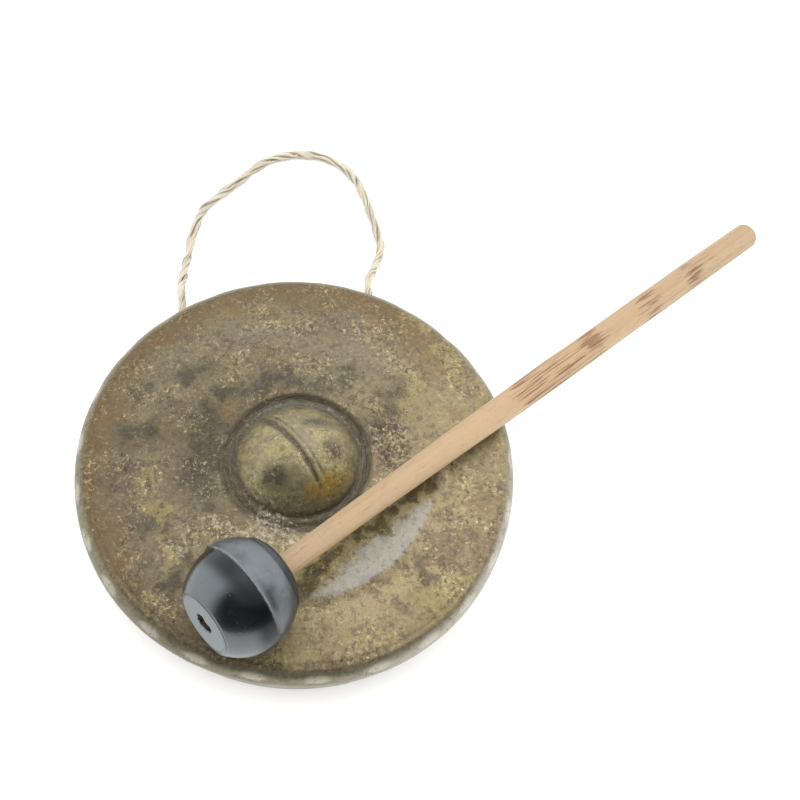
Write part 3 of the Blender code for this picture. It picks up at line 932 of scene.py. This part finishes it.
class Surface(Nodes):
    """A material, built round its Principled shader."""

    def __init__(self, name, **constants):
        self.material = bpy.data.materials.new(name)
        self.material.use_nodes = True
        super().__init__(self.material.node_tree)
        self.shader = self.tree.nodes["Principled BSDF"]
        self.set_shader(constants)

    def set_shader(self, values):
        for socket, value in values.items():
            self.feed(self.shader.inputs[socket.replace("_", " ")], value)

    def finish(self, colour, **values):
        self.set_shader({"Base_Color": colour, **values})
        return self.material

    def place(self):
        return self.node("TexCoord")["Object"]

    def stretched(self, vector, scale, turn=(0, 0, 0)):
        return self.node("Mapping", {"Vector": vector, "Scale": scale, "Rotation": turn})[0]

    def stored(self, name, output="Fac"):
        return self.node("Attribute", attribute_name=name)[output]

    def noise(self, vector, scale, detail=4, rough=0.55, distortion=0.0):
        inputs = {"Vector": vector, "Scale": scale, "Detail": detail, "Roughness": rough}
        return self.node("TexNoise", {**inputs, "Distortion": distortion})["Fac"]

    def mix(self, factor, a, b):
        a, b = [(*v, 1.0) if isinstance(v, tuple) else v for v in (a, b)]
        return self.node("Mix", {0: factor, 6: a, 7: b}, data_type="RGBA")[2]

    def layers(self, colour, *layers):
        """Lays each (factor, tone, strength) over the colour in turn."""
        for factor, tone, strength in layers:
            colour = self.mix(self.times(factor, strength), colour, tone)
        return colour

    def bump(self, height, distance, strength):
        return self.node("Bump", {"Height": height, "Distance": distance, "Strength": strength})["Normal"]


class Patina(Surface):
    """The bronze's surface, with the noises that break up its patches."""

    def __init__(self):
        super().__init__("patinated_bronze")
        self.here = self.place()
        self.tint = self.noise(self.stretched(self.here, (1, 1, 1), (0.4, 0.2, 0.9)), 52, 4, 0.65, 0.8)
        self.mottle = self.noise(self.here, 240, 8, 0.78, 0.25)
        self.grain = self.noise(self.here, 560, 8, 0.8, 0.5)
        coarse = self.times(self.minus(self.mottle, 0.5), 2.6)
        self.rough_edge = self.plus(coarse, self.times(self.minus(self.grain, 0.5), 1.8))

    def zone(self, name, low=0.3, high=0.66):
        """Where a patch lies, its edge broken up and its inside holed by the mottling."""
        raw = self.stored(name)
        ragged = self.step(self.plus(raw, self.rough_edge), low, high)
        return self.times(ragged, self.step(raw, 0.02, 0.22))


def face_colour(s):
    """The face's brown and khaki mottling with its patches, with painted light on one side, painted shade
    in the near crease, the handle's painted shadow and reflection, and a painted reflection in front of the
    boss.
    """
    broad = s.step(s.noise(s.here, 24, 4, 0.6, 0.5), 0.36, 0.64)
    return s.layers(
        s.mix(broad, (0.112, 0.09, 0.06), (0.166, 0.145, 0.106)),
        # Painted light, lighter towards the lower right.
        (s.stored("painted_light"), (0.305, 0.255, 0.166), 0.86),
        (s.step(s.tint, 0.52, 0.66), (0.19, 0.168, 0.088), 0.42),
        (s.step(s.tint, 0.47, 0.36), (0.128, 0.092, 0.076), 0.75),
        (s.step(s.mottle, 0.52, 0.4), (0.046, 0.036, 0.025), 0.66),
        (s.step(s.mottle, 0.52, 0.64), (0.23, 0.198, 0.122), 0.52),
        (s.stored("rim"), (0.112, 0.076, 0.04), 0.75),
        (s.zone("grey"), (0.15, 0.132, 0.112), 0.6),
        (s.zone("khaki"), (0.235, 0.205, 0.1), 0.65),
        (s.zone("rust", 0.24, 0.8), (0.15, 0.094, 0.048), 0.52),
        (s.zone("hammered", 0.1, 0.9), (0.29, 0.245, 0.13), 0.6),
        # Painted shade in the crease along the near shoulder.
        (s.times(s.stored("crease"), s.step(s.mottle, 0.6, 0.46)), (0.036, 0.029, 0.016), 0.72),
        # Painted shadow and reflection of the mallet's handle.
        (s.zone("handle_shadow", 0.05, 0.45), (0.05, 0.04, 0.014), 0.82),
        # Painted reflection in front of the boss.
        (s.zone("crescent_reflection", 0.22, 1.15), (0.29, 0.308, 0.35), 0.64),
        (s.zone("dark", 0.16, 0.6), (0.036, 0.033, 0.029), 0.74),
    )


def boss_colour(s, colour):
    """The boss, golden in one place, with its dark groove and spots."""
    tone = s.layers(
        s.mix(s.step(s.mottle, 0.4, 0.6), (0.15, 0.128, 0.074), (0.31, 0.282, 0.172)),
        (s.step(s.tint, 0.5, 0.62), (0.165, 0.15, 0.13), 0.6),
        (s.zone("boss_gold", 0.1, 0.8), (0.31, 0.205, 0.03), 0.7),
    )
    colour = s.mix(s.stored("boss"), colour, tone)
    return s.layers(colour, (s.zone("boss_dark", 0.05, 0.75), (0.04, 0.034, 0.034), 0.85))


def moat_and_wall_colour(s, colour):
    """The moat, ringed and darkened partly by grime and partly by painted shade and dark reflection, the
    sheen at the boss's foot, the grey wall with its whitish ovals, and the painted highlight along the near
    shoulder.
    """
    rings = s.noise(s.stretched(s.stored("polar", "Vector"), (1900, 130, 1)), 1, 4, 0.7)
    moat_tone = s.mix(s.step(rings, 0.4, 0.62), (0.02, 0.016, 0.012), (0.074, 0.062, 0.046))
    wall_tone = s.mix(s.step(s.mottle, 0.4, 0.6), (0.13, 0.126, 0.092), (0.225, 0.222, 0.178))
    # Painted highlight on the near shoulder.
    shoulder_highlight = s.times(s.stored("shoulder_highlight"), s.step(s.mottle, 0.3, 0.56, 0.45, 1.0))
    return s.layers(
        colour,
        # The moat: grime, with painted shade and dark reflection.
        (s.stored("moat"), moat_tone, 0.88),
        (s.zone("sheen", 0.1, 1.1), (0.205, 0.21, 0.215), 0.62),
        (s.stored("wall"), wall_tone, 0.8),
        (s.times(s.stored("oval"), s.step(s.mottle, 0.32, 0.5)), (0.48, 0.48, 0.45), 0.62),
        (shoulder_highlight, (0.42, 0.42, 0.44), 0.5),
    )


def speckled_colour(s, colour):
    """The fine speckle: a lace of scratches, dust and pits, leopard spots and chalk."""
    busy = s.step(s.noise(s.here, 46, 4, 0.65), 0.42, 0.62, 0.25, 0.95)
    smooth = s.times(s.math("MAXIMUM", s.stored("wall"), s.stored("crescent_reflection")), 0.75)
    quiet = s.minus(1.0, s.math("MAXIMUM", s.times(s.stored("moat"), 0.7), smooth))
    lively = s.times(busy, quiet)
    lace_field = s.noise(s.stretched(s.here, (1, 1, 1), (0.3, 0.5, 0.2)), 430, 4, 0.65, 0.7)
    lace = s.step(s.math("ABSOLUTE", s.minus(lace_field, 0.5)), 0.02, 0.002)
    leopard = s.step(s.stored("leopard"), 0.12, 0.75)
    speckle = s.noise(s.here, 470, 5, 0.75, 0.6)
    return s.layers(
        colour,
        (s.times(lace, lively), (0.42, 0.37, 0.24), 0.34),
        (s.times(s.step(s.grain, 0.535, 0.635), lively), (0.53, 0.46, 0.29), 0.88),
        (s.times(s.step(s.grain, 0.475, 0.385), lively), (0.026, 0.02, 0.014), 0.85),
        (s.times(leopard, s.step(speckle, 0.51, 0.45)), (0.026, 0.022, 0.019), 0.72),
        (s.times(leopard, s.step(speckle, 0.54, 0.62)), (0.36, 0.325, 0.22), 0.55),
        (s.times(s.zone("chalk", 0.1, 0.6), s.step(s.grain, 0.44, 0.6)), (0.42, 0.4, 0.36), 0.6),
    )


def bronze_material():
    s = Patina()
    colour = speckled_colour(s, moat_and_wall_colour(s, boss_colour(s, face_colour(s))))
    warmed = {0: 1.0, 6: colour, 7: (0.9, 0.86, 0.75, 1.0)}
    colour = s.node("Mix", warmed, data_type="RGBA", blend_type="MULTIPLY")[2]
    colour = s.layers(colour, (s.stored("shade"), (0, 0, 0), 0.24))
    under = s.mix(s.step(s.mottle, 0.4, 0.6), (0.034, 0.029, 0.022), (0.095, 0.074, 0.047))
    inside = s.stored("inside")
    worn = s.times(s.math("MAXIMUM", s.stored("moat"), s.stored("wall")), 0.08)
    rough = s.minus(s.step(s.mottle, 0.38, 0.62, 0.34, 0.5), worn)
    relief = s.plus(s.times(s.mottle, 0.55), s.times(s.grain, 0.16))
    relief = s.minus(relief, s.times(s.zone("dark"), 0.05))
    metal = s.times(s.step(s.mottle, 0.36, 0.64, 0.55, 0.85), s.step(s.stored("shoulder_highlight"), 0, 1, 1.0, 0.65))
    return s.finish(
        s.mix(inside, colour, under), Roughness=s.plus(rough, s.times(inside, 0.15)),
        Normal=s.bump(relief, 0.7 * MM, 0.6), Metallic=metal,
    )


def raffia_material():
    s = Surface("twisted_raffia", Subsurface_Weight=0.12, Subsurface_Radius=(0.002, 0.0015, 0.001))
    fibre = s.stored("fibre", "Vector")
    strands = s.noise(s.stretched(fibre, (120, 2600, 1)), 1, 5, 0.6)
    strips = s.noise(s.stretched(fibre, (40, 750, 1)), 1, 3, 0.5)
    broad = s.noise(s.stretched(fibre, (70, 120, 1)), 1, 3, 0.5)
    folds = s.node("SeparateXYZ", {"Vector": fibre})["Z"]
    colour = s.layers(
        s.mix(s.step(strips, 0.35, 0.68), (0.51, 0.47, 0.385), (0.38, 0.34, 0.27)),
        (s.step(broad, 0.5, 0.68), (0.42, 0.335, 0.235), 0.55),
        (s.step(broad, 0.46, 0.3), (0.38, 0.39, 0.28), 0.35),
        (s.step(strands, 0.56, 0.68), (0.14, 0.13, 0.09), 0.65),
    )
    # Painted shade in the hollows of the plies' folds.
    colour = s.mix(s.step(folds, -0.03, -0.15, 0, 0.75), colour, (0.13, 0.115, 0.08))
    normal = s.bump(s.plus(strands, s.times(strips, 0.8)), 0.35 * MM, 0.8)
    return s.finish(colour, Roughness=s.step(strands, 0.3, 0.7, 0.55, 0.75), Normal=normal)


def wood_material():
    s = Surface("raw_wood")
    place = s.place()

    def streaks(scale, detail, rough, distortion=0.0, turn=(0, 0, 0)):
        """Noise drawn out along the handle."""
        return s.noise(s.stretched(place, scale, turn), 1, detail, rough, distortion)

    grain = streaks((420, 420, 9), 5, 0.6)
    bands = s.step(streaks((110, 150, 3), 4, 0.55, 0.3), 0.36, 0.66)
    colour = s.mix(bands, (0.475, 0.346, 0.205), (0.415, 0.275, 0.148))
    colour = s.mix(s.step(streaks((20, 20, 6), 2, 0.5), 0.4, 0.7, 0, 0.35), colour, (0.48, 0.352, 0.24))
    open_grain = s.stored("open_grain")
    clusters = s.step(streaks((110, 110, 26), 2, 0.5), 0.42, 0.6)
    dense = s.step(streaks((60, 60, 9), 2, 0.5), 0.38, 0.55, 0.8, 1)
    pores = streaks((1250, 1250, 34), 2, 0.55, turn=(0.012, 0.0, 0.0))
    limit = s.plus(0.72, s.times(s.times(open_grain, s.plus(0.85, s.times(clusters, 0.15))), -0.26))
    streak = s.times(s.step(s.minus(pores, limit), 0.0, 0.035), dense)
    flecks = s.step(streaks((950, 950, 150), 3, 0.65), 0.56, 0.68)
    colour = s.layers(
        colour,
        (s.step(grain, 0.5, 0.72), (0.3, 0.17, 0.085), 0.35),
        (s.step(s.noise(place, 75, 4, 0.6), 0.45, 0.65), (0.37, 0.28, 0.19), 0.25),
        (s.times(open_grain, s.plus(0.5, s.times(clusters, 0.5))), (0.36, 0.235, 0.135), 0.5),
        (flecks, (0.27, 0.135, 0.058), 0.42),
        (streak, (0.165, 0.06, 0.018), 0.95),
    )
    along = s.node("SeparateXYZ", {"Vector": place})["Z"]
    shaded = s.plus(s.step(along, 0.02, 0.16, 0.35, 0.21), s.step(along, 0.2, 0.32, 0.0, 0.1))
    height = s.minus(s.times(grain, 0.4), streak)
    return s.finish(
        s.mix(shaded, colour, (0, 0, 0)), Roughness=s.step(grain, 0.3, 0.7, 0.52, 0.66),
        Normal=s.bump(height, 0.25 * MM, 0.6),
    )


def rubber_material():
    s = Surface("moulded_rubber", Specular_Tint=(0.84, 0.93, 1.0, 1.0))
    place = s.place()
    haze = s.noise(place, 55, 5, 0.62, 0.6)
    fine = s.noise(place, 700, 3, 0.6)
    rear = s.stored("rear_half")
    flat = s.stored("front_flat")
    flat_groove_shade = s.stored("flat_groove_shade")
    flash = s.times(s.stored("flash"), s.step(fine, 0.4, 0.6, 0.2, 0.9))
    rear_tone = s.mix(s.step(haze, 0.36, 0.62), (0.008, 0.01, 0.012), (0.026, 0.03, 0.034))
    colour = s.mix(rear, s.mix(haze, (0.0018, 0.0026, 0.0032), (0.0045, 0.006, 0.0068)), rear_tone)
    colour = s.mix(flat, colour, (0.11, 0.12, 0.122))
    # Painted shade in the groove round the front flat.
    colour = s.mix(flat_groove_shade, colour, (0.002, 0.002, 0.002))
    specks = s.node("TexVoronoi", {"Vector": place, "Scale": 520})["Distance"]
    dust = s.times(s.step(specks, 0.16, 0.06), s.step(s.noise(place, 90, 3, 0.6), 0.55, 0.65))
    colour = s.layers(colour, (dust, (0.25, 0.25, 0.24), 0.5))
    colour = s.mix(flash, colour, (0.075, 0.085, 0.095))
    dull = s.times(s.math("MAXIMUM", flat, s.times(rear, 0.3)), 0.45)
    shine = s.step(s.stored("burnished"), 0, 1, 1.35, 0.3)
    shine = s.plus(shine, s.times(rear, s.step(haze, 0.34, 0.62, -0.48, -0.04)))
    shine = s.plus(shine, s.times(flat_groove_shade, -0.7))
    shine = s.times(shine, s.step(s.stored("rear_edge"), 0, 1, 1.0, 0.25))
    return s.finish(
        colour, Specular_IOR_Level=shine, Roughness=s.plus(s.step(haze, 0.3, 0.7, 0.2, 0.3), dull),
        Normal=s.bump(s.plus(fine, s.times(haze, 0.6)), 0.12 * MM, 0.35),
    )


# ---- studio

FLOOR_HALF = 3.0
DARK_SIDE = Vector((0.25, -0.82, 0.51)).normalized()
BRIGHT_SIDE = Vector((0.4, 0.2, 0.9)).normalized()
TENT_STRENGTH = 2.1
OPENING_STRENGTH = 0.03
GLOW_STRENGTH = 1.2
BACKDROP_STRENGTH = 1.2


def make_floor():
    verts = [(x * FLOOR_HALF, y * FLOOR_HALF, 0) for x, y in ((-1, -1), (1, -1), (1, 1), (-1, 1))]
    floor = new_object("studio_floor", verts, [(0, 1, 2, 3)])
    s = Surface("white_paper", Roughness=0.9)
    paper = s.mix(s.noise(s.place(), 3), (0.84, 0.84, 0.84), (0.86, 0.86, 0.86))
    floor.data.materials.append(s.finish(paper))


def make_world():
    """A white light tent, open and dark on the near side and brighter on one side."""
    world = bpy.data.worlds.new("light_tent")
    bpy.context.scene.world = world
    world.use_nodes = True
    w = Nodes(world.node_tree)
    direction = w.node("TexCoord")["Generated"]

    def nearing(side, wide, narrow, away, towards):
        """A value that changes as the direction nears a side, between two angles from it."""
        facing = w.node("VectorMath", {0: direction, 1: side}, operation="DOT_PRODUCT")["Value"]
        low, high = (math.cos(math.radians(angle)) for angle in (wide, narrow))
        return w.step(facing, low, high, away, towards)

    opening = nearing(DARK_SIDE, 82, 50, TENT_STRENGTH, OPENING_STRENGTH)
    total = w.plus(opening, nearing(BRIGHT_SIDE, 50, 12, 0, GLOW_STRENGTH))
    ray = w.node("LightPath")
    even = w.node("Mix", {"Factor": ray["Is Diffuse Ray"], "A": total, "B": TENT_STRENGTH})["Result"]
    seen = w.node("Mix", {"Factor": ray["Is Camera Ray"], "A": even, "B": BACKDROP_STRENGTH})["Result"]
    background = w.tree.nodes["Background"]
    background.inputs["Color"].default_value = (1.0, 0.995, 0.98, 1.0)
    w.feed(background.inputs["Strength"], seen)


bpy.context.scene.view_settings.view_transform = "Standard"
make_world()
make_floor()

gong = make_gong()
paint_gong(gong)
gong.data.materials.clear()
gong.data.materials.append(bronze_material())
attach(gong, "gong")
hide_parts("gong_shell")

raffia = raffia_material()
for piece in (cord, *knots):
    piece.data.materials.append(raffia)

mallet = mallet_matrix()
head = make_head(mallet)
head.data.materials.append(rubber_material())
handle = make_handle(mallet)
handle.data.materials.append(wood_material())
for piece, node, slot in ((head, "mallet_head", "grey_rubber"), (handle, "mallet_handle", "handle_wood")):
    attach(piece, "mallet")
    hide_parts(node)
